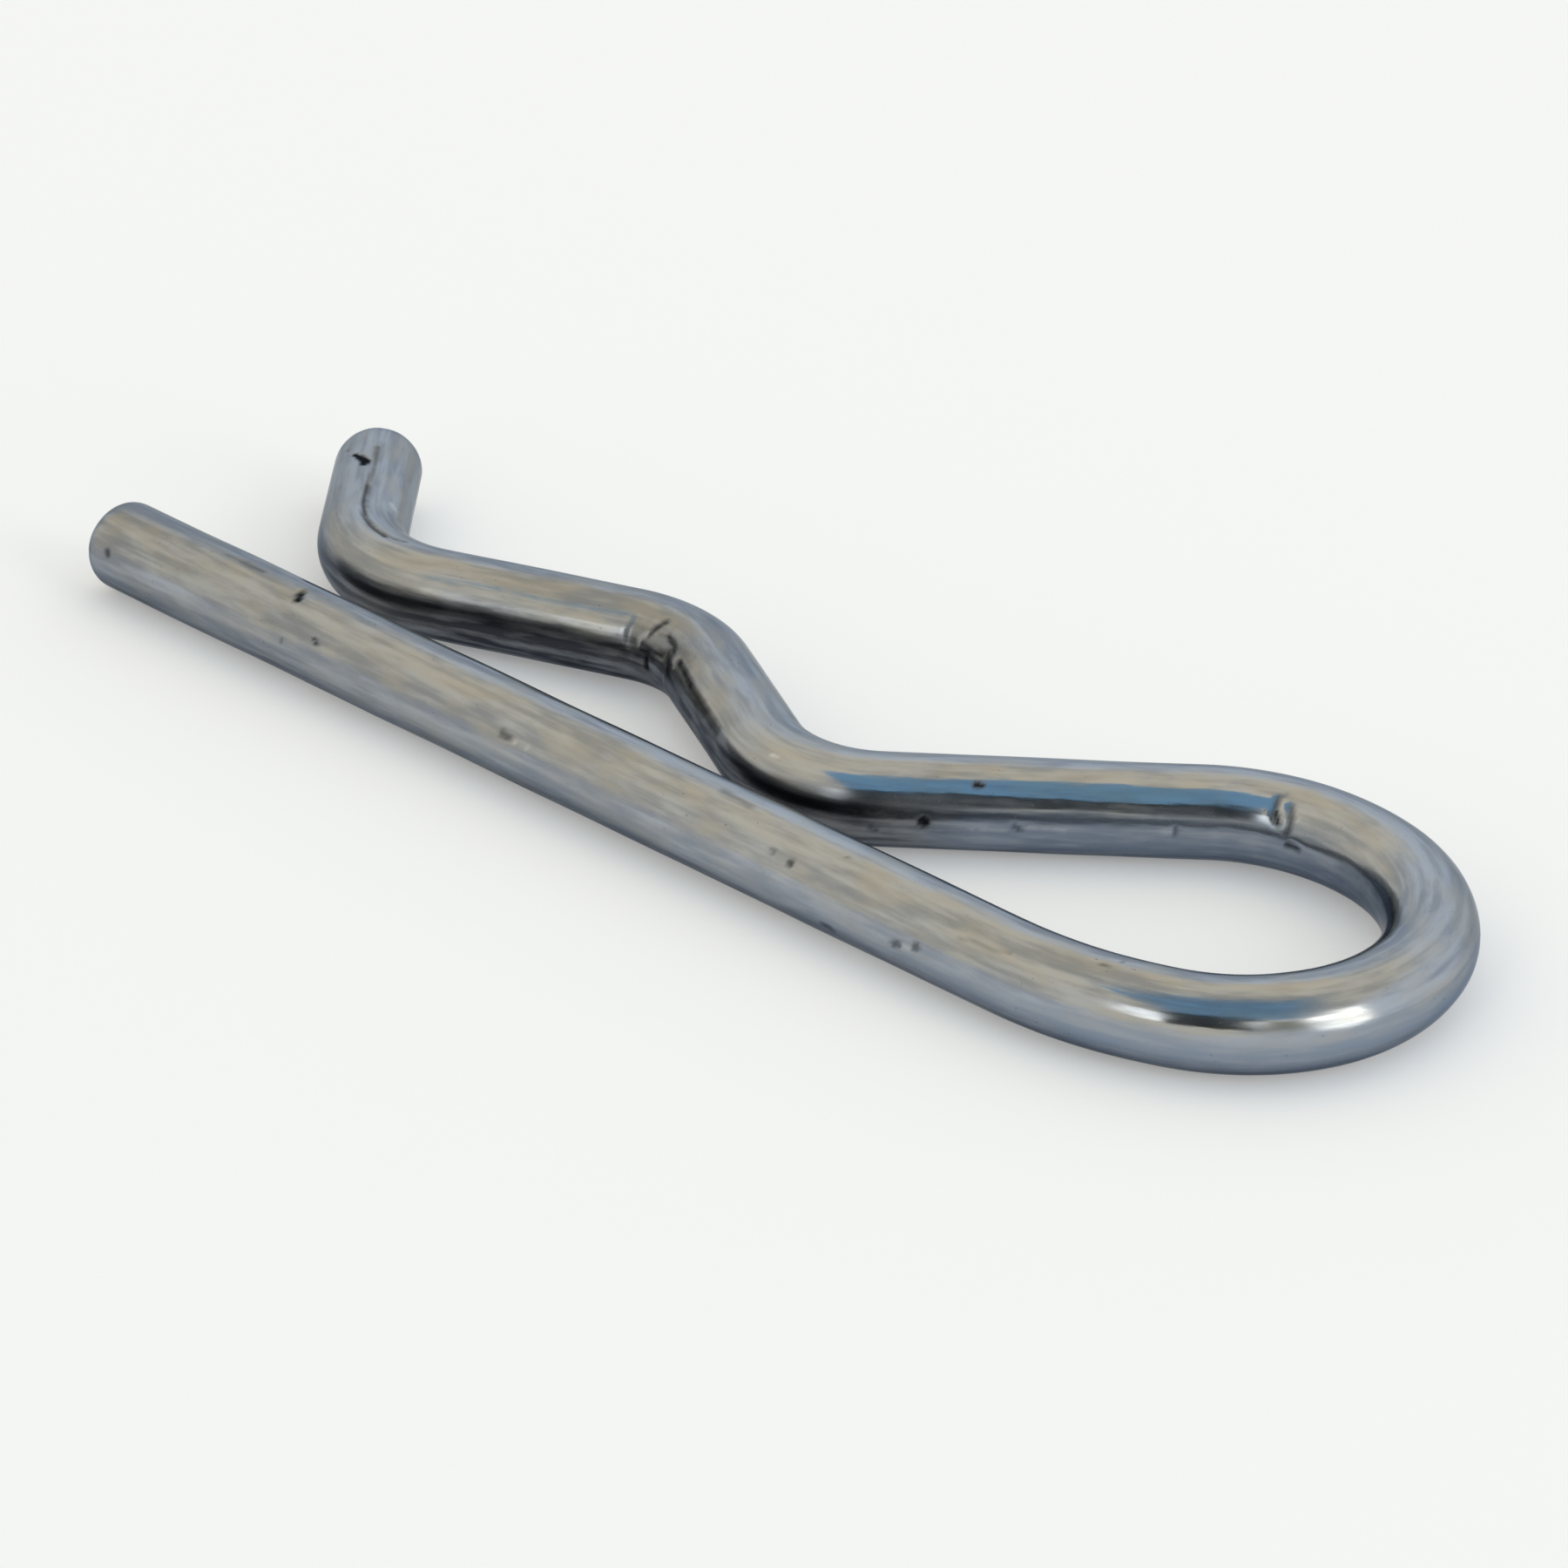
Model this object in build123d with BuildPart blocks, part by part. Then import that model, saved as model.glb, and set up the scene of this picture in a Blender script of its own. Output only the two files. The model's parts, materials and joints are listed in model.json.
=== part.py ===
"""R clip for a hitch pin, bent from one length of round spring wire.

Origin: where the hitch pin's axis crosses the axis of the straight leg.
+X runs along the straight leg from its tip to the bow, +Y points to the cranked leg, and +Z is square to
the plane that the wire is bent in. Lengths are in millimetres and angles in degrees.
"""

import os
from math import asin, cos, degrees, hypot, radians, sin, sqrt

from build123d import *

# The wire, and the hitch pin that the clip locks on
wire_diameter = 4.0
shaft_diameter = 15.9

# The straight leg, from the hitch pin's axis to its tip
leg_reach = 23.6

# The crank over the hitch pin: gaps are clear of the straight leg, slopes are of its two flanks
neck_gap = 1.4
neck_slope = 30.1
neck_inside_radius = 3.1
crest_inside_radius = 3.1
toe_gap = 2.2
toe_slope = 22.4
toe_inside_radius = 3.1

# The flared tail, past the toe
tail_length = 8.0
tail_flare = 51.2

# The bow: the leg leads into it on a gentle arc, and a straight run comes back from it to the neck
eye_diameter = 13.1
lead_inside_radius = 15.0
lead_turn = 23.5
return_length = 13.4

# Both cut ends are rounded over
end_round = 1.2

# Radii of the centre line
wire_radius = wire_diameter / 2
seat_radius = shaft_diameter / 2 + wire_radius
bow_radius = eye_diameter / 2 + wire_radius
lead_radius = lead_inside_radius + wire_radius
neck_radius = neck_inside_radius + wire_radius
crest_radius = crest_inside_radius + wire_radius
toe_radius = toe_inside_radius + wire_radius

# Headings of the runs, from +X and counter-clockwise, on the way from the tip to the tail
leg_heading = 0
half_turn = 180
quarter_turn = half_turn / 2
neck_flank_heading = half_turn - neck_slope
toe_flank_heading = half_turn + toe_slope
tail_heading = half_turn - tail_flare


def polar(length, angle):
    """A vector of this length at this angle from +X."""
    return Vector(length * cos(radians(angle)), length * sin(radians(angle)))


def bend_beside_flank(radius, gap, slope):
    """How far from the hitch pin, and how high, a bend is centred that lifts the wire this gap off the leg
    and runs out on a flank of this slope, which lies against the hitch pin."""
    height = wire_diameter + gap + radius
    reach = (seat_radius + radius - height * cos(radians(slope))) / sin(radians(slope))
    return reach, height


def bend(centre, radius, heading_in, heading_out):
    """One bend of the centre line, which turns the wire from one heading to the next."""
    turn = heading_out - heading_in
    outward = -quarter_turn if turn > 0 else quarter_turn
    return CenterArc(centre, radius, heading_in + outward, turn)


# Neck and toe bends, either side of the hitch pin, and the crest bend between their flanks
neck_reach, neck_height = bend_beside_flank(neck_radius, neck_gap, neck_slope)
toe_reach, toe_height = bend_beside_flank(toe_radius, toe_gap, toe_slope)
neck_centre = Vector(neck_reach, neck_height)
toe_centre = Vector(-toe_reach, toe_height)
crest_lift = (seat_radius - crest_radius) / cos(radians((neck_slope + toe_slope) / 2))
crest_centre = polar(crest_lift, quarter_turn + (toe_slope - neck_slope) / 2)

# The bow stands off the neck by the return run, which is tangent to the inner side of both bends
lead_offset = lead_radius - bow_radius
bow_height = lead_radius - lead_offset * cos(radians(lead_turn))
rise = neck_height - bow_height
span = hypot(return_length, bow_radius + neck_radius)
bow_centre = Vector(neck_reach + sqrt(span**2 - rise**2), bow_height)
lead_centre = Vector(bow_centre.X - lead_offset * sin(radians(lead_turn)), lead_radius)
return_heading = half_turn - degrees(asin(rise / span)) + degrees(asin((bow_radius + neck_radius) / span))

# The bent wire
with BuildPart() as r_clip:
    with BuildLine() as centre_line:
        lead = bend(lead_centre, lead_radius, leg_heading, lead_turn)
        bow = bend(bow_centre, bow_radius, lead_turn, return_heading)
        neck = bend(neck_centre, neck_radius, return_heading, neck_flank_heading)
        crest = bend(crest_centre, crest_radius, neck_flank_heading, toe_flank_heading)
        toe = bend(toe_centre, toe_radius, toe_flank_heading, tail_heading)
        leg = Line((-leg_reach, 0), lead @ 0)
        Line(bow @ 1, neck @ 0)
        Line(neck @ 1, crest @ 0)
        Line(crest @ 1, toe @ 0)
        Line(toe @ 1, toe @ 1 + polar(tail_length, tail_heading))
    with BuildSketch(Plane(origin=leg @ 0, z_dir=leg % 0)):
        Circle(wire_radius)
    sweep(path=centre_line.wire())
    fillet(r_clip.faces().filter_by(GeomType.PLANE).edges(), end_round)

r_clip.part.label = "r_clip"

os.makedirs("parts", exist_ok=True)
export_step(r_clip.part, "parts/r_clip.step")
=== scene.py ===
"""Looks for a hitch pin R clip: one length of zinc-plated spring wire, lying on a pale studio floor.

The file is laid out as an add-on and run as a script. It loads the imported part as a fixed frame, draws and
bends the wire over the part's solid, presses the marks of use into it, plates it and sets the stage.
Lengths are in metres, and angles are in radians unless a name says degrees.
"""

import json
import math
from collections import defaultdict
from typing import NamedTuple

import bmesh
import bpy
from bpy.props import FloatProperty, FloatVectorProperty, IntProperty, PointerProperty
from mathutils import Matrix, Vector, noise
from mathutils.geometry import intersect_point_line


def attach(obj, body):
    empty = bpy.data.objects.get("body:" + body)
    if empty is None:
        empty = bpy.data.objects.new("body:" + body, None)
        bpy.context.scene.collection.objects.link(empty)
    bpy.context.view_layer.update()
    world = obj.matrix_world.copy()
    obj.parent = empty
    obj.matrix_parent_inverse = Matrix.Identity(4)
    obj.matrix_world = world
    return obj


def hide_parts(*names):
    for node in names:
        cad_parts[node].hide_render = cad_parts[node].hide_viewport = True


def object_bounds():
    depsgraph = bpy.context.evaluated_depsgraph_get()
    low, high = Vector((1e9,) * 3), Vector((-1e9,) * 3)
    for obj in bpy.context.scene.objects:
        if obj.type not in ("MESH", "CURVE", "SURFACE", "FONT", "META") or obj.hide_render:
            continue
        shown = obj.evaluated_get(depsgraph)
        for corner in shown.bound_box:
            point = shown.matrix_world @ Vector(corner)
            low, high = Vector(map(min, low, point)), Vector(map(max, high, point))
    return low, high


bl_info = {
    "name": "Hitch Pin R Clip",
    "version": (1, 0, 0),
    "blender": (4, 5, 0),
    "location": "View3D > Sidebar > R Clip",
    "description": "Bends, marks and plates an R clip, and sets its stage",
    "category": "Object",
}

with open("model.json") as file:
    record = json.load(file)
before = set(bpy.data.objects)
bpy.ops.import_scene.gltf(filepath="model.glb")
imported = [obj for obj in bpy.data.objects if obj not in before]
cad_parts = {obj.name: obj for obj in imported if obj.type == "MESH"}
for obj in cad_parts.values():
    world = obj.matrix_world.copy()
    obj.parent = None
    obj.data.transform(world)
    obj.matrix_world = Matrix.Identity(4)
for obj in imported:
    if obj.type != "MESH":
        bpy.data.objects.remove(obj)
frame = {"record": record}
CAD_LOW, CAD_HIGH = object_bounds()

MM = 0.001
NODE = "r_clip"
DRAWN_LAYER = "drawn_wire"
DIRT_AND_SHADE_LAYER = "dirt_and_shade"
SCUFF_LAYER = "scuff"
SHADE_AND_DARKENING_LAYER = "shade_and_darkening"
PAINTED_BLUE_REFLECTION_LAYER = "blue"


def mount_radius(name):
    """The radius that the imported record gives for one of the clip's mounts."""
    mounts = {mount["name"]: mount for mount in frame["record"]["mounts"]}
    return mounts[name]["dims"]["r_mm"] * MM


# Kinds of property
def length_property(name, description, default):
    return FloatProperty(
        name=name,
        description=description,
        default=default,
        min=0,
        precision=6,
        unit="LENGTH",
    )


def angle_property(name, description, degrees):
    return FloatProperty(name=name, description=description, default=math.radians(degrees), subtype="ANGLE")


def share_property(name, description, default):
    return FloatProperty(name=name, description=description, default=default, min=0, max=1, subtype="FACTOR")


def colour_property(name, description, default):
    return FloatVectorProperty(name=name, description=description, default=default, min=0, subtype="COLOR")


def count_property(name, description, default, least):
    return IntProperty(name=name, description=description, default=default, min=least)


class RClipWire(bpy.types.PropertyGroup):
    """Sizes of the wire and of its bends."""

    wire_radius: length_property("Wire radius", "Half of the wire's diameter", mount_radius("straight_leg"))
    shaft_radius: length_property("Shaft radius", "Of the hitch pin it locks", mount_radius("shaft_seat"))
    eye_radius: length_property("Eye radius", "Inside the bow", mount_radius("pull_eye"))
    leg_reach: length_property("Leg reach", "From the hitch pin's axis to the tip", -CAD_LOW.x)
    neck_gap: length_property("Neck gap", "Between the neck and the straight leg", 1.4 * MM)
    neck_slope: angle_property("Neck slope", "Of the flank between neck and crest", 30.1)
    toe_gap: length_property("Toe gap", "Between the toe and the straight leg", 2.2 * MM)
    toe_slope: angle_property("Toe slope", "Of the flank between crest and toe", 22.4)
    bend_inside_radius: length_property("Bend radius", "Inside the neck, crest and toe bends", 3.1 * MM)
    tail_length: length_property("Tail length", "Of the straight run past the toe", 8.0 * MM)
    tail_flare: angle_property("Tail flare", "Of the tail from the straight leg", 51.2)
    lead_inside_radius: length_property("Lead radius", "Inside the gentle start of the bow", 15.0 * MM)
    lead_turn: angle_property("Lead turn", "Of the gentle start of the bow", 23.5)
    return_length: length_property("Return length", "Of the straight run from the bow to the neck", 13.4 * MM)
    end_round: length_property("End round", "Radius of the rounding on both cut ends", 1.2 * MM)
    ring_vertices: count_property("Ring vertices", "Vertices around the wire", 80, 12)
    ring_spacing: length_property("Ring spacing", "Between rings along the wire", 0.17 * MM)
    end_rings: count_property("End rings", "Rings in the rounding of an end", 10, 2)
    flat_rings: count_property("Flat rings", "Rings in the flat of an end", 6, 2)
    waviness: length_property("Waviness", "Depth of the slow hollows that drawing leaves", 0.05 * MM)


class RClipFinish(bpy.types.PropertyGroup):
    """Colours and gloss of the zinc plate."""

    zinc: colour_property("Zinc", "Plate where it is bright", (0.378, 0.4, 0.432))
    dull_zinc: colour_property("Dull zinc", "Plate between the drawn lines", (0.246, 0.263, 0.292))
    straw: colour_property("Straw", "Tint of the passivation film", (0.375, 0.36, 0.32))
    # Dirt in pits and creases, whose near-black also stands in as painted shade in these hollows
    dirt_and_shade: colour_property("Grime", "What fills pits and creases", (0.012, 0.013, 0.016))
    # Painted shade: this dark film stands in for shade on the inner sides and underneath, and darkens the tip
    # and crank a little
    shade_and_darkening: colour_property("Tarnish", "Dark film on the inner sides", (0.043, 0.045, 0.055))
    # Painted reflection: this blue film stands in for the bluish surroundings that the lower and inner sides
    # mirror
    blue: colour_property("Blue film", "Passivation film, most on the bow and the run", (0.25, 0.302, 0.385))
    chalk: colour_property("Chalk", "White corrosion on scuffs", (0.6, 0.6, 0.62))
    rim: colour_property("Rim", "Reflectance close to grazing", (0.5, 0.535, 0.585))
    gloss: share_property("Gloss", "Roughness of the bright plate", 0.13)
    dull: share_property("Dull", "Roughness between the drawn lines", 0.24)
    film_roughness: share_property("Film roughness", "Roughness of the dark film", 0.34)
    pit_roughness: share_property("Pit roughness", "Roughness of grime and scuffs", 0.55)
    line_depth: length_property("Line depth", "Of the lines left by drawing", 0.002 * MM)
    swell_depth: length_property("Swell depth", "Of the broad swells that make reflections waver", 0.03 * MM)


class RClipStudio(bpy.types.PropertyGroup):
    """Floor, light and camera."""

    floor: colour_property("Floor", "Diffuse colour of the floor", (0.72, 0.73, 0.76))
    floor_glow: share_property("Floor glow", "Level that lifts the floor to white", 0.24)
    ceiling: colour_property("Ceiling", "Light from above", (1.06, 0.97, 0.78))
    warm_wall: colour_property("Warm wall", "Light from the walls before the clip", (1.0, 0.95, 0.82))
    cool_wall: colour_property("Cool wall", "Light from the walls behind the clip", (0.94, 1.01, 1.07))
    cool_side: angle_property("Cool side", "Azimuth of the middle of the cool wall", 160)
    wall_top: angle_property("Wall top", "Elevation at which the wall starts to turn to ceiling", 30)
    ceiling_edge: angle_property("Ceiling edge", "Elevation at which it is all ceiling", 54)
    azimuth: angle_property("Azimuth", "Of the camera, from -Y towards +X", 39.85)
    elevation: angle_property("Elevation", "Of the camera above the floor", 28.7)
    roll: angle_property("Roll", "Of the camera about its view", 3.27)
    distance: length_property("Distance", "From the camera to what it looks at", 0.2759)
    lens: FloatProperty(name="Lens", description="Focal length in millimetres", default=153.18, min=1)
    look_along: length_property("Look along", "Where the camera looks, along the straight leg", 0.01168)
    look_beside: length_property("Look beside", "Where the camera looks, beside the straight leg", 0.00473)


# The bent wire
class Bend(NamedTuple):
    """One bend of the centre line, and the heading that the wire leaves it with."""

    centre: Vector
    heading: float


def polar(length, heading):
    """A flat vector of this length and heading."""
    return Vector((length * math.cos(heading), length * math.sin(heading), 0))


def bend_beside_flank(size, radius, gap, slope):
    """How far from the hitch pin, and how high, a bend is centred whose flank lies against the hitch pin."""
    height = 2 * size.wire_radius + gap + radius
    seat_radius = size.shaft_radius + size.wire_radius
    reach = (seat_radius + radius - height * math.cos(slope)) / math.sin(slope)
    return reach, height


def wire_bends(size):
    """The bends of the clip, in order from the tip of the straight leg."""
    radius = size.bend_inside_radius + size.wire_radius
    bow_radius = size.eye_radius + size.wire_radius
    lead_radius = size.lead_inside_radius + size.wire_radius
    seat_radius = size.shaft_radius + size.wire_radius
    neck_reach, neck_height = bend_beside_flank(size, radius, size.neck_gap, size.neck_slope)
    toe_reach, toe_height = bend_beside_flank(size, radius, size.toe_gap, size.toe_slope)
    crest_lift = (seat_radius - radius) / math.cos((size.neck_slope + size.toe_slope) / 2)
    crest = polar(crest_lift, math.pi / 2 + (size.toe_slope - size.neck_slope) / 2)
    lead_offset = lead_radius - bow_radius
    bow_height = lead_radius - lead_offset * math.cos(size.lead_turn)
    rise = neck_height - bow_height
    span = math.hypot(size.return_length, bow_radius + radius)
    bow_reach = neck_reach + math.sqrt(span**2 - rise**2)
    lead_reach = bow_reach - lead_offset * math.sin(size.lead_turn)
    return_heading = math.pi - math.asin(rise / span) + math.asin((bow_radius + radius) / span)
    return (
        Bend(Vector((lead_reach, lead_radius, 0)), size.lead_turn),
        Bend(Vector((bow_reach, bow_height, 0)), return_heading),
        Bend(Vector((neck_reach, neck_height, 0)), math.pi - size.neck_slope),
        Bend(crest, math.pi + size.toe_slope),
        Bend(Vector((-toe_reach, toe_height, 0)), math.pi - size.tail_flare),
    )


class DrawnWire:
    """A tube that is extruded ring by ring along its centre line.

    Each vertex keeps in a layer its place on the wire as it was before bending: its distance from the tip,
    and its offsets to the left of the heading and upwards.
    """

    def __init__(self, size):
        self.size = size
        self.bm = bmesh.new()
        self.drawn = self.bm.verts.layers.float_vector.new(DRAWN_LAYER)
        # Layers for dirt with painted shade, scuffs, painted shade with darkening, and painted blue
        # reflection
        self.dirt_and_shade = self.bm.verts.layers.float.new(DIRT_AND_SHADE_LAYER)
        self.scuff = self.bm.verts.layers.float.new(SCUFF_LAYER)
        self.shade_and_darkening = self.bm.verts.layers.float.new(SHADE_AND_DARKENING_LAYER)
        self.blue = self.bm.verts.layers.float.new(PAINTED_BLUE_REFLECTION_LAYER)
        self.place = Vector((-size.leg_reach, 0, 0))
        self.heading = 0.0
        self.along = 0.0
        self.ring_radius = self.flat_radii()[0]
        # Stands the circle up, so that it faces along the wire
        facing = Matrix(((0, 0, 1, 0), (1, 0, 0, 0), (0, 1, 0, 0), (0, 0, 0, 1)))
        made = bmesh.ops.create_circle(
            self.bm,
            cap_ends=True,
            segments=size.ring_vertices,
            radius=self.ring_radius,
            matrix=Matrix.Translation(self.place) @ facing,
        )
        for vert in made["verts"]:
            vert[self.drawn] = (0, vert.co.y, vert.co.z)
        self.ring = list(self.bm.edges)

    def advance(self, move, step, ring_radius):
        """Extrudes the open ring, moves the new one on, and notes its place on the straight wire."""
        made = bmesh.ops.extrude_edge_only(self.bm, edges=self.ring)["geom"]
        verts = [item for item in made if isinstance(item, bmesh.types.BMVert)]
        self.ring = [item for item in made if isinstance(item, bmesh.types.BMEdge) and item.is_boundary]
        centre = Matrix.Translation(self.place)
        resize = centre @ Matrix.Scale(ring_radius / self.ring_radius, 4) @ centre.inverted()
        bmesh.ops.transform(self.bm, matrix=move @ resize, verts=verts)
        self.place = move @ self.place
        self.along += step
        self.ring_radius = ring_radius
        for vert in verts:
            offset = vert[self.drawn].yz.normalized() * ring_radius
            vert[self.drawn] = (self.along, *offset)

    def flat_radii(self):
        """Radii of the rings in the flat of a cut end, from its middle to its edge."""
        edge = self.size.wire_radius - self.size.end_round
        return [edge * ring / self.size.flat_rings for ring in range(1, self.size.flat_rings + 1)]

    def flat_end(self, opening):
        """The flat of a cut end, which opens from its middle at the tip or closes to it at the tail."""
        radii = self.flat_radii() if opening else self.flat_radii()[::-1]
        for ring_radius in radii[1:]:
            self.advance(Matrix.Identity(4), 0, ring_radius)

    def round_end(self, opening):
        """The rounding of a cut end, which opens from the flat at the tip or closes to it at the tail."""
        size = self.size
        turns = [math.pi / 2 * ring / size.end_rings for ring in range(size.end_rings + 1)]
        depths = [size.end_round * (1 - math.cos(turn)) for turn in turns]
        radii = [size.wire_radius - size.end_round * (1 - math.sin(turn)) for turn in turns]
        if not opening:
            depths = [size.end_round - depth for depth in reversed(depths)]
            radii.reverse()
        for ring in range(size.end_rings):
            step = depths[ring + 1] - depths[ring]
            self.advance(Matrix.Translation(polar(step, self.heading)), step, radii[ring + 1])

    def run(self, length):
        """A straight run, extruded in one go and then cut into rings."""
        before = [vert for edge in self.ring for vert in edge.verts]
        self.advance(Matrix.Translation(polar(length, self.heading)), length, self.ring_radius)
        after = {vert for edge in self.ring for vert in edge.verts}
        sides = [edge for vert in before for edge in vert.link_edges if edge.other_vert(vert) in after]
        cuts = math.ceil(length / self.size.ring_spacing) - 1
        bmesh.ops.subdivide_edges(self.bm, edges=list(dict.fromkeys(sides)), cuts=cuts)

    def bend(self, bend):
        """A straight run up to a bend, and the bend."""
        reach = (bend.centre - self.place).dot(polar(1, self.heading))
        if reach > self.size.ring_spacing:
            self.run(reach)
        turn = bend.heading - self.heading
        arc = abs(turn) * (bend.centre - self.place).length
        count = math.ceil(arc / self.size.ring_spacing)
        about = Matrix.Translation(bend.centre)
        move = about @ Matrix.Rotation(turn / count, 4, "Z") @ about.inverted()
        for _ in range(count):
            self.advance(move, arc / count, self.ring_radius)
        self.heading = bend.heading

    def close(self):
        """Closes the tail, fans the middle of both flats and turns the faces outwards."""
        bmesh.ops.contextual_create(self.bm, geom=self.ring)
        middles = [face for face in self.bm.faces if len(face.verts) == self.size.ring_vertices]
        for vert in bmesh.ops.poke(self.bm, faces=middles)["verts"]:
            beside = vert.link_edges[0].other_vert(vert)
            vert[self.drawn] = (beside[self.drawn].x, 0, 0)
        bmesh.ops.recalc_face_normals(self.bm, faces=self.bm.faces)


def bend_wire(size):
    """The whole clip as a closed tube, with no marks yet."""
    wire = DrawnWire(size)
    wire.flat_end(opening=True)
    wire.round_end(opening=True)
    first, *others = wire_bends(size)
    wire.bend(first)
    for bend in others:
        wire.bend(bend)
    wire.run(size.tail_length - size.end_round)
    wire.round_end(opening=False)
    wire.flat_end(opening=False)
    wire.close()
    return wire


# Marks of making and of use
class Mark(NamedTuple):
    """A dent or a scuff along a stroke on the wire.

    The stroke's points are millimetres from the tip, and degrees from the left side through the top. Width
    and depth are in millimetres. Dirt and shade and scuff say how much of either the mark holds, the dark of
    its hollow being partly dirt and partly painted shade; ragged says how much its outline wanders, and edge
    is the share of half the width over which it deepens.
    """

    stroke: tuple
    width: float
    depth: float
    dirt_and_shade: float
    scuff: float = 0.0
    ragged: float = 0.12
    edge: float = 0.6


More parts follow.
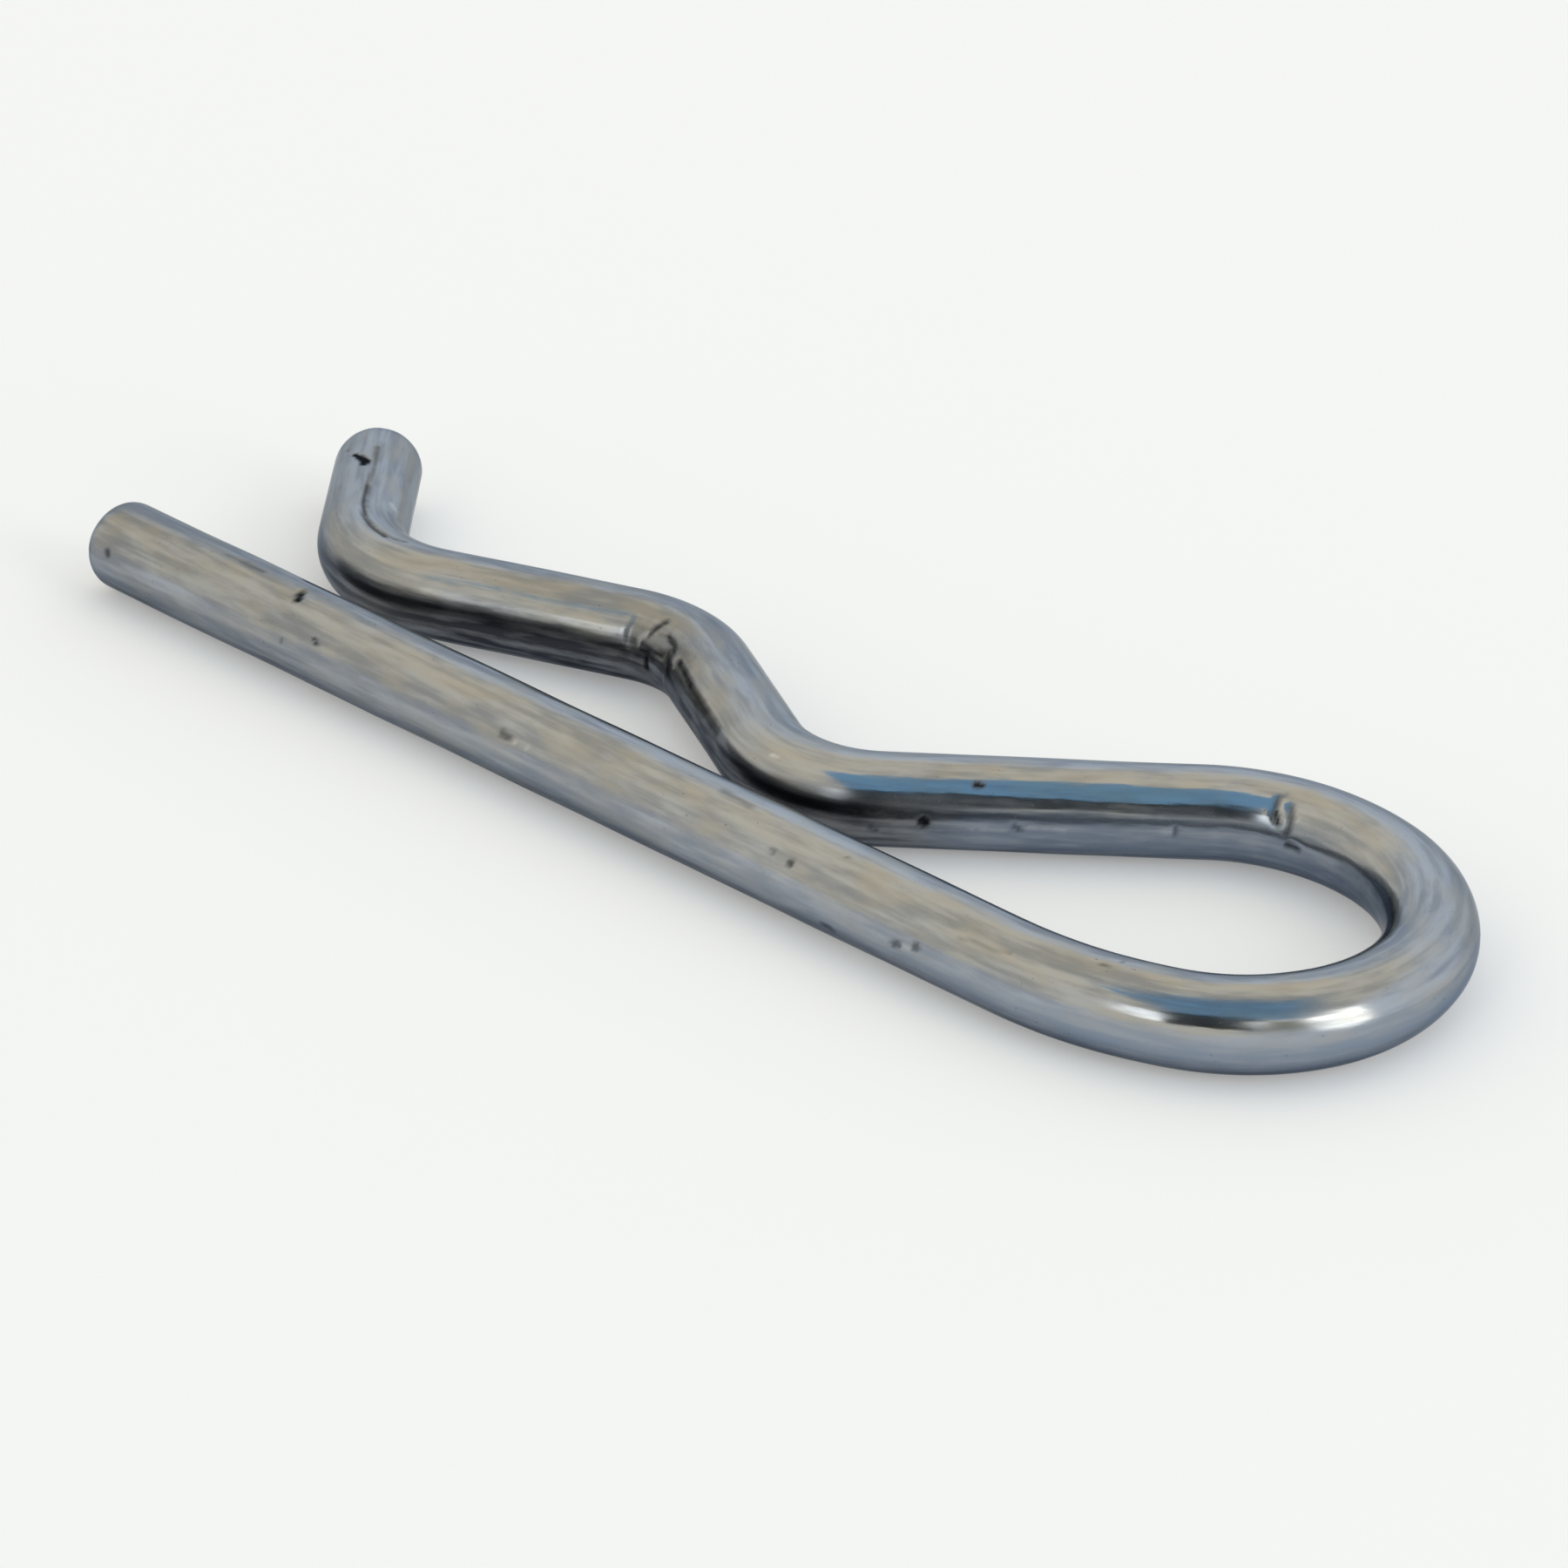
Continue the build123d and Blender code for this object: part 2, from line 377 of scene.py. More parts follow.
MARKS = (
    # Tip of the straight leg: a pit, a scratch and a nick
    Mark(((1.8, 162), (1.85, 165)), 0.56, 0.03, 0.7, 0.0, 0.05, 0.9),
    Mark(((7.4, 94), (8.6, 94.5)), 0.26, 0.01, 0.3),
    Mark(((8.4, 94.5), (9.6, 95)), 0.4, 0.02, 0.45),
    Mark(((12.3, 112), (12.15, 102)), 0.5, 0.05, 1.0, 0.0, 0.2, 0.6),
    Mark(((12.2, 104), (12.1, 93)), 0.4, 0.05, 0.7, 0.0, 0.2, 0.8),
    Mark(((14.3, 149), (14.5, 154)), 0.34, 0.03, 0.9, 0.0, 0.05, 0.9),
    Mark(((12.6, 169),), 0.34, 0.03, 0.5),
    # Middle of the straight leg: a dent with a scuff, a faint scratch and pits
    Mark(((25.3, 153), (25.8, 155)), 0.46, 0.04, 0.6),
    Mark(((25.8, 157), (26.1, 157)), 0.32, 0.0, 0.0, 0.5),
    Mark(((26.8, 156.5),), 0.3, 0.0, 0.0, 0.35),
    Mark(((36.2, 97), (37.9, 101)), 0.34, 0.01, 0.3),
    Mark(((40.0, 139), (40.2, 142)), 0.34, 0.02, 0.4),
    Mark(((41.15, 145),), 0.5, 0.04, 0.75),
    Mark(((43.3, 109),), 0.3, 0.02, 0.45),
    Mark(((43.2, 205), (43.6, 207)), 0.5, 0.04, 0.5),
    Mark(((47.0, 181), (47.2, 179)), 0.52, 0.04, 0.6),
    Mark(((48.05, 173), (48.15, 170)), 0.52, 0.04, 0.55),
    Mark(((47.5, 178), (47.8, 176)), 0.4, 0.0, 0.0, 0.35),
    Mark(((49.9, 138), (51.0, 135), (52.2, 132)), 0.2, 0.006, 0.3, 0.0, 0.1),
    # Lead into the bow: a patch of specks
    Mark(((55.65, 104), (55.85, 103)), 0.32, 0.02, 0.55),
    Mark(((56.1, 102),), 0.26, 0.02, 0.45),
    Mark(((56.35, 91), (56.4, 88)), 0.24, 0.02, 0.45),
    # End of the bow, where the bending tool bit the wire
    Mark(((84.5, 56), (84.5, 44), (84.4, 34), (84.2, 27)), 0.56, 0.04, 0.8, 0.0, 0.1, 1.0),
    Mark(((84.45, 42), (84.2, 27)), 0.5, 0.02, 1.0, 0.0, 0.05, 1.0),
    Mark(((83.75, 50), (83.6, 38), (83.55, 24), (83.65, 17)), 0.7, 0.03, 0.7, 0.0, 0.1, 1.0),
    Mark(((84.2, 66), (84.55, 57)), 0.4, 0.03, 0.3, 0.0, 0.1, 1.0),
    Mark(((83.5, 5), (83.15, 6), (82.8, 3)), 0.5, 0.05, 0.85, 0.0, 0.2, 1.0),
    Mark(((83.2, 37),), 0.4, 0.0, 0.0, 0.3, 0.2, 1.0),
    # Run back to the neck: pits and scuffs
    Mark(((99.45, 3),), 0.66, 0.03, 1.0, 0.0, 0.1, 0.4),
    Mark(((97.2, 50), (97.4, 50)), 0.42, 0.0, 1.0, 0.0, 0.0, 0.5),
    Mark(((101.85, 12), (101.95, 14)), 0.42, 0.04, 0.8),
    Mark(((101.45, 13),), 0.4, 0.04, 0.9),
    Mark(((100.5, 9),), 0.3, 0.02, 0.5),
    Mark(((101.5, -8), (101.4, -12)), 0.34, 0.03, 0.6),
    Mark(((97.6, -3), (96.0, -4)), 0.3, 0.0, 0.0, 0.25, 0.6, 1.0),
    Mark(((95.75, 1), (95.5, -3)), 0.34, 0.03, 0.5),
    Mark(((95.3, 1), (93.6, -1)), 0.3, 0.0, 0.0, 0.3, 0.6, 1.0),
    Mark(((89.1, 7), (89.1, -1)), 0.34, 0.03, 0.5),
    Mark(((89.7, 3), (89.3, 3)), 0.4, 0.0, 0.0, 0.25, 0.5, 1.0),
    # Inside of the crest, where the wire was squeezed into folds: hollows, cracks and their bright lips, and
    # painted shade
    # Painted shade: a broad soft band, with no dent, that darkens the inner edge of the crest
    Mark(((118.9, 30), (116.5, 33), (114.0, 34)), 2.4, 0.0, 0.42, 0.0, 0.2, 1.0),
    Mark(((118.9, 42), (119.1, 32), (119.1, 20)), 1.1, 0.07, 0.3, 0.0, 0.1, 1.0),
    Mark(((117.2, 36), (116.4, 32), (115.9, 28)), 1.5, 0.12, 0.35, 0.0, 0.1, 1.0),
    Mark(((117.3, 58), (117.7, 43), (117.8, 34)), 0.64, 0.06, 0.9, 0.0, 0.15, 1.0),
    Mark(((116.55, 45), (115.75, 40), (115.2, 35)), 0.64, 0.06, 0.9, 0.0, 0.15, 1.0),
    Mark(((118.2, 12), (117.5, 15), (116.9, 17), (116.1, 20)), 0.6, 0.05, 0.95, 0.0, 0.15, 1.0),
    Mark(((117.55, 5), (117.5, -8)), 0.5, 0.08, 1.0, 0.0, 0.1, 0.6),
    Mark(((115.3, 21), (114.8, 11)), 0.7, 0.05, 1.0, 0.0, 0.15, 1.0),
    # Painted shade: a dark band along the inner edge of the crest, fading from a shallow dent to none
    Mark(((114.15, 34), (113.3, 32), (112.3, 29)), 0.8, 0.02, 1.0, 0.0, 0.15, 1.0),
    Mark(((112.3, 29), (111.0, 27), (110.0, 26)), 0.8, 0.01, 0.85, 0.0, 0.15, 1.0),
    Mark(((110.0, 26), (108.4, 25)), 0.8, 0.0, 0.6, 0.0, 0.15, 1.0),
    Mark(((118.05, 34), (118.4, 26), (118.35, 18)), 0.4, 0.0, 0.0, 0.9, 0.1, 0.9),
    Mark(((114.5, 36), (114.7, 29), (114.35, 24)), 0.4, 0.0, 0.0, 1.0, 0.1, 0.9),
    Mark(((115.25, 0), (115.3, -14)), 0.4, 0.0, 0.0, 0.35, 0.2, 1.0),
    # Tail: a gouge, a crease that runs on round the toe, and a scuff
    Mark(((140.1, 63), (139.6, 73)), 0.36, 0.03, 1.0, 0.0, 0.15, 0.5),
    Mark(((139.6, 73), (139.15, 82)), 0.58, 0.04, 1.0, 0.0, 0.15, 0.5),
    Mark(((139.2, 81), (138.95, 80)), 0.6, 0.04, 1.0, 0.0, 0.05, 0.5),
    Mark(((141.0, 50),), 0.34, 0.03, 0.6),
    Mark(((140.6, 93), (138.9, 94), (136.9, 91)), 0.36, 0.03, 0.5, 0.0, 0.2, 0.9),
    Mark(((136.9, 91), (134.7, 91), (133.4, 87), (132.5, 86), (131.6, 87)), 0.42, 0.05, 0.8, 0.0, 0.2, 0.9),
    Mark(((131.6, 87), (130.6, 94)), 0.36, 0.03, 0.5, 0.0, 0.2, 0.9),
    Mark(((135.7, 129), (135.6, 132)), 0.6, 0.0, 0.0, 0.4),
    # Pale speck beside the neck
    Mark(((105.15, 50),), 0.32, 0.0, 0.0, 0.8),
)

# How the mesh is cut finer under a mark: how many rings past its rim, and how many cuts in each edge
RINGS_BESIDE_MARK = 1.5
CUTS_UNDER_MARK = 2

# How the outline of a mark wanders: its coarse and its fine waves, and the share of the fine ones
COARSE_WAVE = 0.3 * MM
FINE_WAVE = 0.12 * MM
FINE_SHARE = 0.6

# The slow hollows that drawing leaves
HOLLOW_LENGTH = 4 * MM
HOLLOW_WIDTH = 1.1 * MM

# Films by millimetres from the tip: the dark one of painted shade on the inner side, where the legs face each
# other, how high that side reaches in wire radii, the blue one of painted reflection on the inner and on the
# outer side, and the dark one of a plain darkening all round
INNER_SHADE = (
    (0, 0.3),
    (8, 0.85),
    (50, 0.85),
    (62, 0.15),
    (70, 0.1),
    (78, 0.5),
    (84, 0.32),
    (97, 0.3),
    (102, 0.88),
    (128, 0.88),
    (133, 0.6),
    (138, 0.0),
)
INNER_TOP = ((0, 1.1), (50, 1.1), (62, 0.68))
INNER_BLUE_REFLECTION = ((0, 0.0), (62, 0.0), (70, 0.6), (80, 0.95), (98, 0.95), (101, 0.0))
OUTER_BLUE_REFLECTION = ((0, 0.2), (20, 0.2), (40, 0.35), (56, 0.85), (72, 0.8), (80, 0.0))
ALL_ROUND_DARKENING = ((0, 0.14), (14, 0.1), (28, 0.0), (110, 0.0), (116, 0.12), (130, 0.08), (137, 0.0))

# Painted shade underneath, as a dark film on the side towards the floor
UNDER_SHADE = 0.5

# Where a film starts and is full, in wire radii: out to either side, down the outer side, and underneath
FILM_SIDE = (0.2, 0.8)
OUTER_FADE = (-0.5, 0.1)
UNDER_FADE = (0.15, 0.8)

# How far below the top of the inner side its film is full, in wire radii
INNER_FADE = 0.48


def smooth_share(value, low, high):
    """How far a value has come from low to high, as a smooth share."""
    share = min(1, max(0, (value - low) / (high - low)))
    return share * share * (3 - 2 * share)


def mark_reach(wire, mark, vert):
    """How far a vertex is from a mark's stroke, as a share of half the mark's width."""
    first = mark.stroke[0][1]
    per_degree = math.radians(wire.size.wire_radius / MM)
    stroke = [Vector((along, (around - first) * per_degree)) for along, around in mark.stroke]
    along, left, up = vert[wire.drawn]
    apart = math.remainder(math.degrees(math.atan2(up, left)) - first, 360)
    spot = Vector((along / MM, apart * per_degree))
    gap = (spot - stroke[0]).length
    for start, end in zip(stroke, stroke[1:]):
        share = intersect_point_line(spot, start, end)[1]
        foot = start.lerp(end, min(1, max(0, share)))
        gap = min(gap, (spot - foot).length)
    return 2 * gap / mark.width


def shelve(wire):
    """The vertices, in lists by whole millimetres from the tip."""
    shelves = defaultdict(list)
    for vert in wire.bm.verts:
        shelves[math.floor(vert[wire.drawn].x / MM)].append(vert)
    return shelves


def verts_at(shelves, mark, margin):
    """The vertices level with a mark, with a margin in millimetres to either side of it."""
    places = [along for along, around in mark.stroke]
    span = range(math.floor(min(places) - margin), math.floor(max(places) + margin) + 1)
    return [vert for shelf in span for vert in shelves[shelf] if vert.is_valid]


def refine_under(wire, shelves, mark):
    """Cuts the mesh finer where a mark is to be pressed."""
    margin = mark.width / 2 + RINGS_BESIDE_MARK * wire.size.ring_spacing / MM
    reach = 2 * margin / mark.width
    inside = [vert for vert in verts_at(shelves, mark, margin) if mark_reach(wire, mark, vert) < reach]
    kept = set(inside)
    edges = [edge for vert in inside for edge in vert.link_edges if edge.other_vert(vert) in kept]
    edges = list(dict.fromkeys(edges))
    bmesh.ops.subdivide_edges(wire.bm, edges=edges, cuts=CUTS_UNDER_MARK, use_grid_fill=True)


def press_mark(wire, shelves, mark):
    """Presses a mark into the wire, and lays its dirt, which is partly painted shade, and its scuff."""
    for vert in verts_at(shelves, mark, mark.width):
        rough = noise.noise(vert.co / COARSE_WAVE) + FINE_SHARE * noise.noise(vert.co / FINE_WAVE)
        inward = 1 - mark_reach(wire, mark, vert) - mark.ragged * rough
        if inward > 0:
            sunk = smooth_share(inward, 0, mark.edge)
            vert.co -= vert.normal * mark.depth * MM * sunk
            vert[wire.dirt_and_shade] = max(vert[wire.dirt_and_shade], mark.dirt_and_shade * sunk)
            vert[wire.scuff] = max(vert[wire.scuff], mark.scuff * sunk)


def mark_wire(wire):
    """Presses all the marks, into a mesh that is cut finer under them."""
    shelves = shelve(wire)
    for mark in MARKS:
        refine_under(wire, shelves, mark)
    wire.bm.normal_update()
    shelves = shelve(wire)
    for mark in MARKS:
        press_mark(wire, shelves, mark)


def table_value(table, place):
    """The value at a place in a table of places and values, in order and with straight lines between them."""
    for (start, first), (end, last) in zip(table, table[1:]):
        if start <= place < end:
            return first + (last - first) * (place - start) / (end - start)
    return table[-1][1]


def darken_and_tint_wire(wire):
    """Paints shade as a dark film on the inner sides of both legs, where they face each other, and
    underneath, darkens the wire a little all round at the tip and the crank, and paints a bluish reflection
    as a blue film that is strongest on the bow and on the run."""
    radius = wire.size.wire_radius
    for vert in wire.bm.verts:
        along, left, up = vert[wire.drawn]
        place = along / MM
        beside = left / radius
        below = -up / radius
        top = table_value(INNER_TOP, place)
        inner = smooth_share(beside, *FILM_SIDE) * smooth_share(below, -top, INNER_FADE - top)
        outer = smooth_share(-beside, *FILM_SIDE) * smooth_share(below, *OUTER_FADE)
        under = smooth_share(below, *UNDER_FADE)
        vert[wire.shade_and_darkening] = max(
            table_value(INNER_SHADE, place) * inner,
            table_value(ALL_ROUND_DARKENING, place),
            UNDER_SHADE * under,
        )
        vert[wire.blue] = max(
            table_value(INNER_BLUE_REFLECTION, place) * inner,
            table_value(OUTER_BLUE_REFLECTION, place) * outer,
        )


def ripple_wire(wire):
    """The slow hollows of drawn wire, which make its reflections waver."""
    for vert in wire.bm.verts:
        along, left, up = vert[wire.drawn]
        place = Vector((along / HOLLOW_LENGTH, left / HOLLOW_WIDTH, up / HOLLOW_WIDTH))
        vert.co -= vert.normal * wire.size.waviness * (0.5 + 0.5 * noise.noise(place))


# Node trees
def add_node(tree, kind, inputs=None, **settings):
    """A node with its settings, and with its inputs linked or set."""
    node = tree.nodes.new(kind)
    for name, value in settings.items():
        setattr(node, name, value)
    for socket, value in (inputs or {}).items():
        if isinstance(value, bpy.types.NodeSocket):
            tree.links.new(value, node.inputs[socket])
        else:
            node.inputs[socket].default_value = value
    return node


def blend_colours(tree, factor, first, second):
    """The colour between two others."""
    inputs = {"Factor": factor, 6: first, 7: second}
    return add_node(tree, "ShaderNodeMix", inputs, data_type="RGBA").outputs[2]


def blend_values(tree, factor, first, second):
    """The number between two others."""
    return add_node(tree, "ShaderNodeMix", {"Factor": factor, 2: first, 3: second}).outputs[0]


def calculate(tree, operation, first, second=0.0):
    """The result of a sum on two numbers."""
    return add_node(tree, "ShaderNodeMath", {0: first, 1: second}, operation=operation).outputs[0]


def ramp(tree, value, low, high):
    """How far a value has come from low to high, as a smooth share."""
    inputs = {"Value": value, "From Min": low, "From Max": high}
    return add_node(tree, "ShaderNodeMapRange", inputs, interpolation_type="SMOOTHSTEP").outputs["Result"]


def layer_value(tree, name):
    """The number that the mesh keeps in one of its layers."""
    return add_node(tree, "ShaderNodeAttribute", attribute_name=name).outputs["Fac"]


def opaque(colour):
    """A colour with full alpha, for a colour socket."""
    return (*colour, 1.0)


# The zinc plate
class Grain(NamedTuple):
    """Noise on the straight wire: its length along the wire and across it in millimetres, and its detail."""

    along: float
    across: float
    detail: float = 2.0


LINES = Grain(6, 0.35, 3.0)
BANDS = Grain(14, 0.9)
PATCHES = Grain(2.6, 1.0, 4.0)
MOTTLE = Grain(1.9, 0.45, 5.0)
SPECKS = Grain(0.16, 0.13)
SWELLS = Grain(3, 0.8, 2.5)

# Keeps the noise's own origin, where all its octaves meet in a star, away from the tip
GRAIN_SHIFT = (5.3, 2.7, 4.1)

# Where bright streaks, straw tint and dark specks start and are full, on the noise that makes them
STREAK_RANGE = (1.2, 1.8)
STRAW_RANGE = (0.42, 0.68)
SPECK_RANGE = (0.7, 0.8)

# The most that the straw tint and the dark specks cover
STRAW_SHARE = 0.5
SPECK_SHARE = 0.5

# What a film is multiplied by where the plate is dull and where it is bright
FILM_PATCHINESS = (1.2, 0.6)

# Heights of the patches and of the specks, with that of the lines as one
PATCH_RELIEF = 0.6
SPECK_RELIEF = 0.12


def grain(tree, place, kind):
    """The noise of one of the plate's grains."""
    along = 1 / (kind.along * MM)
    across = 1 / (kind.across * MM)
    spread = {"Vector": place, "Location": GRAIN_SHIFT, "Scale": (along, across, across)}
    mapped = add_node(tree, "ShaderNodeMapping", spread).outputs[0]
    inputs = {"Vector": mapped, "Scale": 1.0, "Detail": kind.detail}
    return add_node(tree, "ShaderNodeTexNoise", inputs).outputs["Fac"]


def plate_relief(tree, finish, place, lines, patches, specks):
    """The plate's normal: broad swells, and on them fine lines, patches and specks."""
    broad = {"Height": grain(tree, place, SWELLS), "Strength": 1.0, "Distance": finish.swell_depth}
    swell = add_node(tree, "ShaderNodeBump", broad).outputs["Normal"]
    relief = calculate(tree, "ADD", lines, calculate(tree, "MULTIPLY", patches, PATCH_RELIEF))
    relief = calculate(tree, "ADD", relief, calculate(tree, "MULTIPLY", specks, SPECK_RELIEF))
    fine = {"Height": relief, "Strength": 1.0, "Distance": finish.line_depth, "Normal": swell}
    return add_node(tree, "ShaderNodeBump", fine).outputs["Normal"]


def zinc_plate(finish):
    """Bright zinc on drawn wire: fine lines along it, a patchy straw tint, a blue film of painted reflection,
    a dark film of painted shade with a little darkening all round, chalk on the scuffs, and dirt in the marks
    that is partly painted shade."""
    material = bpy.data.materials.new("zinc_plate")
    material.use_nodes = True
    tree = material.node_tree
    shader = tree.nodes["Principled BSDF"]
    place = add_node(tree, "ShaderNodeAttribute", attribute_name=DRAWN_LAYER).outputs["Vector"]
    scuff = layer_value(tree, SCUFF_LAYER)
    shade_and_darkening = layer_value(tree, SHADE_AND_DARKENING_LAYER)
    lines = grain(tree, place, LINES)
    patches = grain(tree, place, PATCHES)
    specks = grain(tree, place, SPECKS)
    coarse = calculate(tree, "ADD", grain(tree, place, BANDS), grain(tree, place, MOTTLE))
    streaks = ramp(tree, calculate(tree, "ADD", lines, coarse), *STREAK_RANGE)
    patchy = blend_values(tree, streaks, *FILM_PATCHINESS)
    tint = calculate(tree, "MULTIPLY", ramp(tree, patches, *STRAW_RANGE), STRAW_SHARE)
    # Painted reflection, as a blue coat
    blue_reflection_coat = calculate(tree, "MULTIPLY", layer_value(tree, PAINTED_BLUE_REFLECTION_LAYER), patchy)
    # Painted shade, with a little darkening all round, as a dark coat
    shade_and_darkening_coat = calculate(tree, "MULTIPLY", shade_and_darkening, patchy)
    dots = calculate(tree, "MULTIPLY", ramp(tree, specks, *SPECK_RANGE), SPECK_SHARE)
    # Dark specks, and the dirt in the marks, which is partly painted shade
    specks_dirt_and_shade = calculate(tree, "MAXIMUM", layer_value(tree, DIRT_AND_SHADE_LAYER), dots)
    coats = (
        (tint, finish.straw),
        (blue_reflection_coat, finish.blue),
        (shade_and_darkening_coat, finish.shade_and_darkening),
        (scuff, finish.chalk),
        (specks_dirt_and_shade, finish.dirt_and_shade),
    )
    colour = blend_colours(tree, streaks, opaque(finish.dull_zinc), opaque(finish.zinc))
    for share, coat in coats:
        colour = blend_colours(tree, share, colour, opaque(coat))
    rough = blend_values(tree, streaks, finish.dull, finish.gloss)
    rough = blend_values(tree, shade_and_darkening, rough, finish.film_roughness)
    rough = blend_values(tree, calculate(tree, "MAXIMUM", specks_dirt_and_shade, scuff), rough, finish.pit_roughness)
    relief = plate_relief(tree, finish, place, lines, patches, specks)
    tree.links.new(colour, shader.inputs["Base Color"])
    tree.links.new(rough, shader.inputs["Roughness"])
    tree.links.new(relief, shader.inputs["Normal"])
    shader.inputs["Metallic"].default_value = 1.0
    shader.inputs["Specular Tint"].default_value = opaque(finish.rim)
    return material


class RCLIP_OT_bend_wire(bpy.types.Operator):
    """Draw, bend, mark and plate the wire of the clip"""

    bl_idname = "r_clip.bend_wire"
    bl_label = "Bend wire"

    def execute(self, context):
        wire = bend_wire(context.scene.r_clip_wire)
        wire.bm.normal_update()
        ripple_wire(wire)
        mark_wire(wire)
        darken_and_tint_wire(wire)
        mesh = bpy.data.meshes.new("r_clip_wire")
        wire.bm.to_mesh(mesh)
        wire.bm.free()
        mesh.shade_smooth()
        mesh.materials.append(zinc_plate(context.scene.r_clip_finish))
        piece = bpy.data.objects.new("r_clip_wire", mesh)
        context.scene.collection.objects.link(piece)
        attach(piece, "root")
        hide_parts(NODE)
        return {"FINISHED"}


# The stage
class Card(NamedTuple):
    """A card or a lamp that the metal mirrors. Angles are degrees, as seen from the clip."""

    name: str
    azimuth: float
    elevation: float
    width: float
    height: float
    colour: tuple
    level: float = 1.0


CARD_DISTANCE = 1.2
FLOOR_SIDE = 6.0

# How far to either side of square the warm walls turn into the cool ones, as a cosine
WALL_TURN = 0.4

CARDS = (
    Card("blue_card", 52.3, 65, 51.4, 42, (0.285, 0.52, 0.74)),
    Card("dark_card", 38.5, 31, 37, 32, (0.05, 0.06, 0.065)),
    Card("olive_card", 71, 25, 18, 21, (0.44, 0.43, 0.3)),
)
LAMPS = (
    Card("tall_window", 95.5, 20.5, 23, 33, (1.0, 0.94, 0.78), 2.6),
    Card("side_window", 11, 27, 11, 22, (0.96, 1.0, 1.0), 1.9),
    Card("door_gap", 58.5, 30, 7, 16, (1.0, 1.0, 0.96), 2.0),
)


def towards(azimuth, elevation):
    """The direction from the clip with this azimuth, from -Y towards +X, and elevation."""
    level = math.cos(elevation)
    return Vector((math.sin(azimuth) * level, -math.cos(azimuth) * level, math.sin(elevation)))


def facing_clip(card):
    """The matrix of a card that stands off from the clip and faces it."""
    out = towards(math.radians(card.azimuth), math.radians(card.elevation))
    turn = out.to_track_quat("Z", "Y").to_matrix().to_4x4()
    return Matrix.Translation(out * CARD_DISTANCE) @ turn


def card_side(degrees):
    """The side of a card that spans this angle, as seen from the clip."""
    return 2 * CARD_DISTANCE * math.tan(math.radians(degrees) / 2)


def glowing(name, colour):
    """A material that gives out its colour."""
    material = bpy.data.materials.new(name)
    material.use_nodes = True
    tree = material.node_tree
    tree.nodes.clear()
    glow = add_node(tree, "ShaderNodeEmission", {"Color": opaque(colour), "Strength": 1.0})
    add_node(tree, "ShaderNodeOutputMaterial", {"Surface": glow.outputs[0]})
    return material


def floor_material(studio):
    """A pale floor that keeps shadows, lifted to white where it is seen or mirrored."""
    material = bpy.data.materials.new("floor")
    material.use_nodes = True
    tree = material.node_tree
    tree.nodes.clear()
    path = add_node(tree, "ShaderNodeLightPath").outputs
    seen = calculate(tree, "MAXIMUM", path["Is Camera Ray"], path["Is Glossy Ray"])
    seen = calculate(tree, "MAXIMUM", seen, path["Is Transmission Ray"])
    strength = calculate(tree, "MULTIPLY", seen, studio.floor_glow)
    glow = add_node(tree, "ShaderNodeEmission", {"Color": (1, 1, 1, 1), "Strength": strength})
    matt = add_node(tree, "ShaderNodeBsdfDiffuse", {"Color": opaque(studio.floor)})
    both = add_node(tree, "ShaderNodeAddShader", {0: glow.outputs[0], 1: matt.outputs[0]})
    add_node(tree, "ShaderNodeOutputMaterial", {"Surface": both.outputs[0]})
    return material


def stage_plane(name, width, height, matrix, material):
    """A flat piece of the stage."""
    bm = bmesh.new()
    shape = matrix @ Matrix.Diagonal((width, height, 1, 1))
    bmesh.ops.create_grid(bm, x_segments=1, y_segments=1, size=0.5, matrix=shape)
    mesh = bpy.data.meshes.new(name)
    bm.to_mesh(mesh)
    bm.free()
    mesh.materials.append(material)
    plane = bpy.data.objects.new(name, mesh)
    bpy.context.scene.collection.objects.link(plane)


def room_light(studio):
    """A world whose walls turn into a warm ceiling."""
    world = bpy.data.worlds.new("room")
    bpy.context.scene.world = world
    world.use_nodes = True
    tree = world.node_tree
    tree.nodes.clear()
    direction = add_node(tree, "ShaderNodeTexCoord").outputs["Generated"]
    height = add_node(tree, "ShaderNodeSeparateXYZ", {0: direction}).outputs["Z"]
    aim = {0: direction, 1: towards(studio.cool_side, 0)}
    behind = add_node(tree, "ShaderNodeVectorMath", aim, operation="DOT_PRODUCT").outputs["Value"]
    cool = ramp(tree, behind, -WALL_TURN, WALL_TURN)
    wall = blend_colours(tree, cool, opaque(studio.warm_wall), opaque(studio.cool_wall))
    share = ramp(tree, height, math.sin(studio.wall_top), math.sin(studio.ceiling_edge))
    colour = blend_colours(tree, share, wall, opaque(studio.ceiling))
    light = add_node(tree, "ShaderNodeBackground", {"Color": colour, "Strength": 1.0})
    add_node(tree, "ShaderNodeOutputWorld", {"Surface": light.outputs[0]})


def hang_lamp(card):
    """An area lamp as bright, seen from the clip, as its card says."""
    lamp = bpy.data.lights.new(card.name, "AREA")
    lamp.shape = "RECTANGLE"
    lamp.size = card_side(card.width)
    lamp.size_y = card_side(card.height)
    lamp.energy = math.pi * lamp.size * lamp.size_y * card.level
    lamp.color = card.colour
    holder = bpy.data.objects.new(card.name, lamp)
    holder.matrix_world = facing_clip(card)
    bpy.context.scene.collection.objects.link(holder)


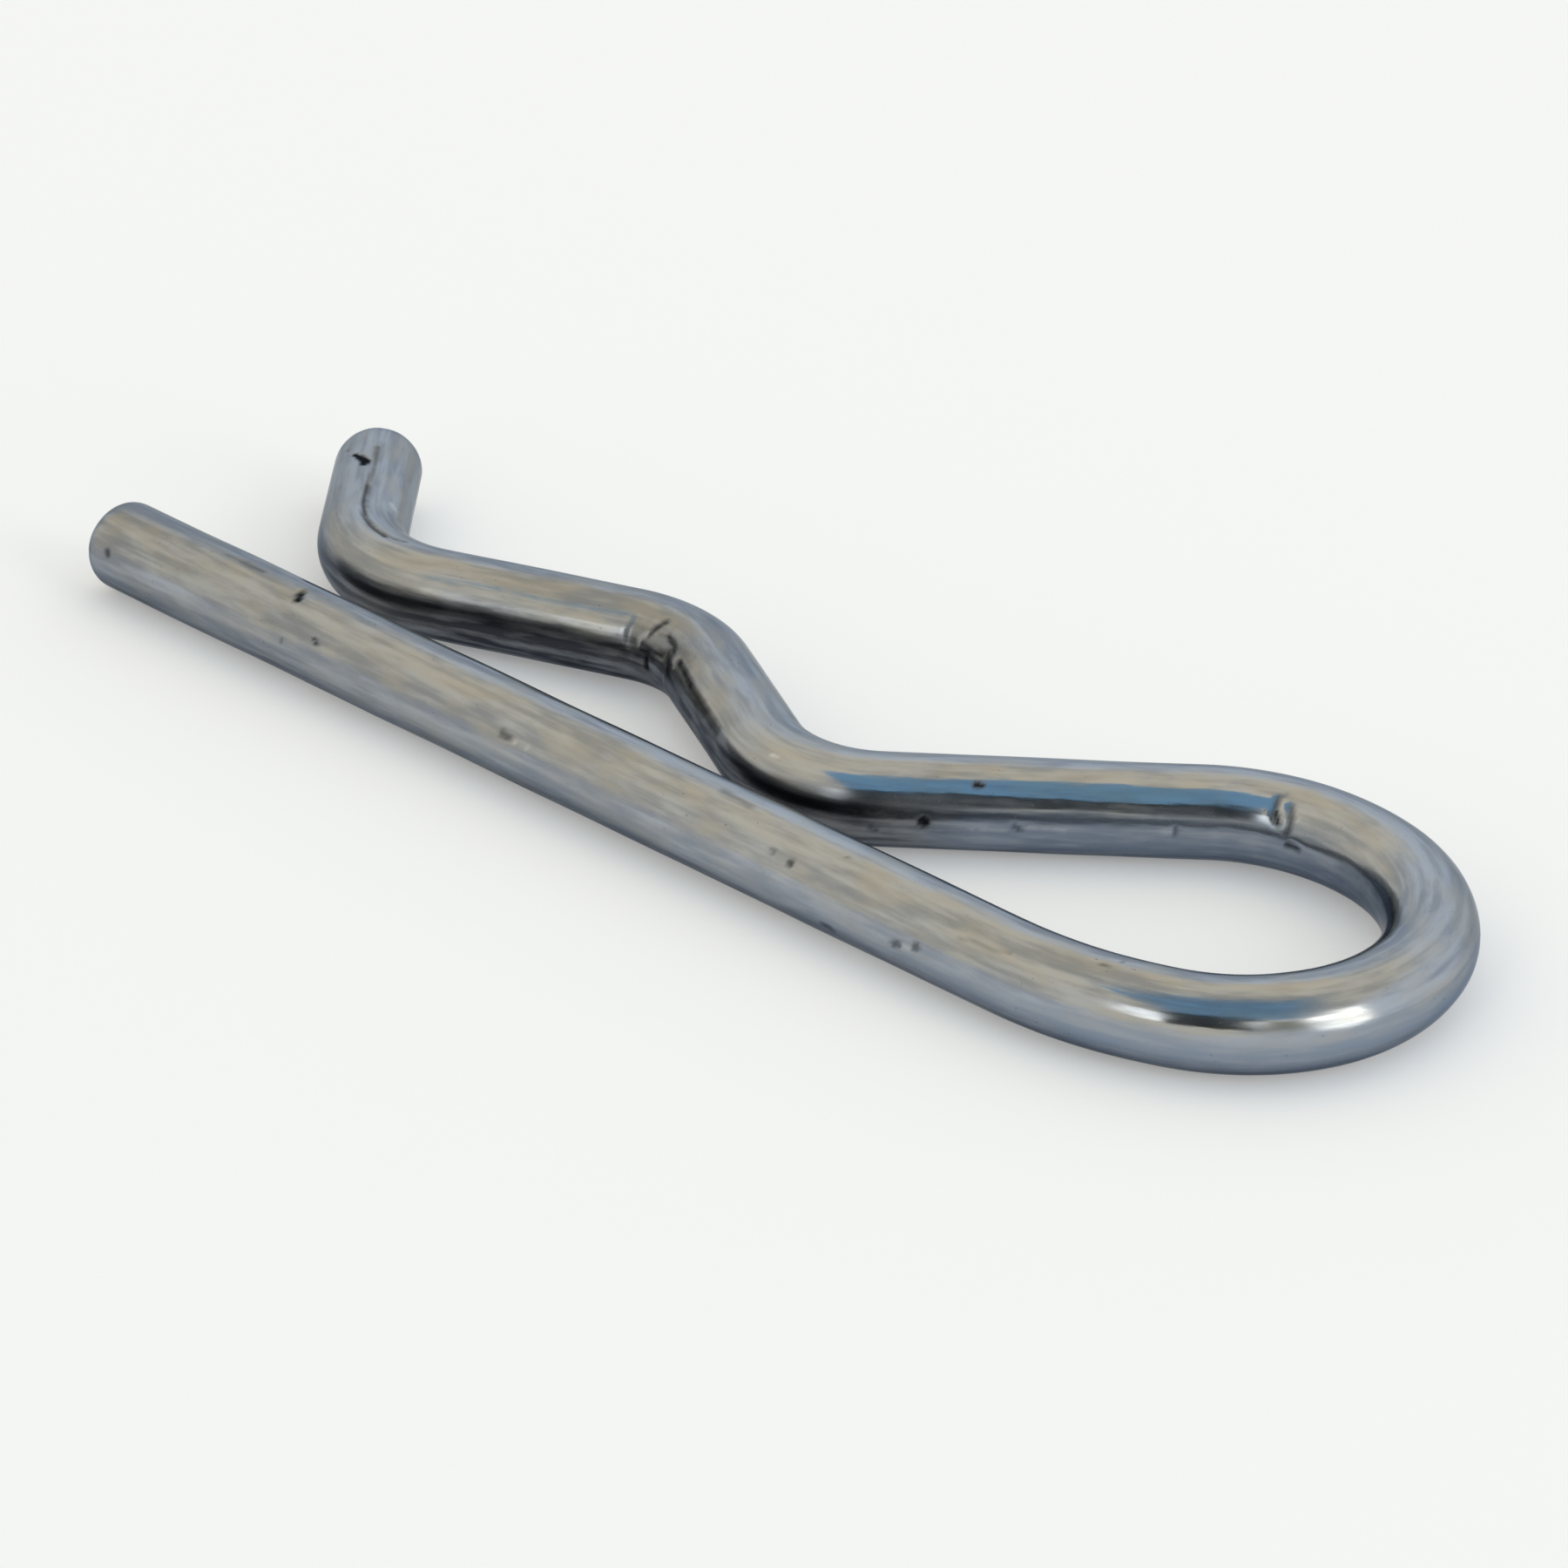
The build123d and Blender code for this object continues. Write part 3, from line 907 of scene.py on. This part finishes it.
def set_camera(studio):
    """The camera at the photograph's viewing angle."""
    back = towards(studio.azimuth, studio.elevation)
    right = Vector((math.cos(studio.azimuth), math.sin(studio.azimuth), 0))
    up = back.cross(right)
    level = Matrix((right, up, back)).transposed()
    turned = level @ Matrix.Rotation(studio.roll, 3, "Z")
    target = Vector((studio.look_along, studio.look_beside, 0))
    camera = bpy.data.objects.new("camera", bpy.data.cameras.new("camera"))
    camera.data.lens = studio.lens
    camera.data.clip_start = 0.1 * studio.distance
    camera.matrix_world = Matrix.Translation(target + back * studio.distance) @ turned.to_4x4()
    bpy.context.scene.collection.objects.link(camera)
    bpy.context.scene.camera = camera


class RCLIP_OT_set_stage(bpy.types.Operator):
    """Lay the floor, light the clip and aim the camera"""

    bl_idname = "r_clip.set_stage"
    bl_label = "Set stage"

    def execute(self, context):
        studio = context.scene.r_clip_studio
        context.scene.view_settings.view_transform = "Standard"
        ground = Matrix.Translation((0, 0, CAD_LOW.z))
        stage_plane("floor", FLOOR_SIDE, FLOOR_SIDE, ground, floor_material(studio))
        for card in CARDS:
            sides = card_side(card.width), card_side(card.height)
            stage_plane(card.name, *sides, facing_clip(card), glowing(card.name, card.colour))
        for card in LAMPS:
            hang_lamp(card)
        room_light(studio)
        set_camera(studio)
        return {"FINISHED"}


class RCLIP_PT_sidebar(bpy.types.Panel):
    """The clip's steps, with the sizes and colours that they use"""

    bl_idname = "RCLIP_PT_sidebar"
    bl_label = "R Clip"
    bl_space_type = "VIEW_3D"
    bl_region_type = "UI"
    bl_category = "R Clip"

    def draw(self, context):
        steps = (
            (RCLIP_OT_bend_wire, (context.scene.r_clip_wire, context.scene.r_clip_finish)),
            (RCLIP_OT_set_stage, (context.scene.r_clip_studio,)),
        )
        for operator, groups in steps:
            self.layout.operator(operator.bl_idname)
            for group in groups:
                for name in group.__annotations__:
                    self.layout.prop(group, name)


GROUPS = {"r_clip_wire": RClipWire, "r_clip_finish": RClipFinish, "r_clip_studio": RClipStudio}
CLASSES = (*GROUPS.values(), RCLIP_OT_bend_wire, RCLIP_OT_set_stage, RCLIP_PT_sidebar)


def register():
    for cls in CLASSES:
        bpy.utils.register_class(cls)
    for name, group in GROUPS.items():
        setattr(bpy.types.Scene, name, PointerProperty(type=group))


def unregister():
    for name in GROUPS:
        delattr(bpy.types.Scene, name)
    for cls in reversed(CLASSES):
        bpy.utils.unregister_class(cls)


def main():
    """Builds the clip and its stage."""
    register()
    bpy.ops.r_clip.bend_wire()
    bpy.ops.r_clip.set_stage()


if __name__ == "__main__":
    main()
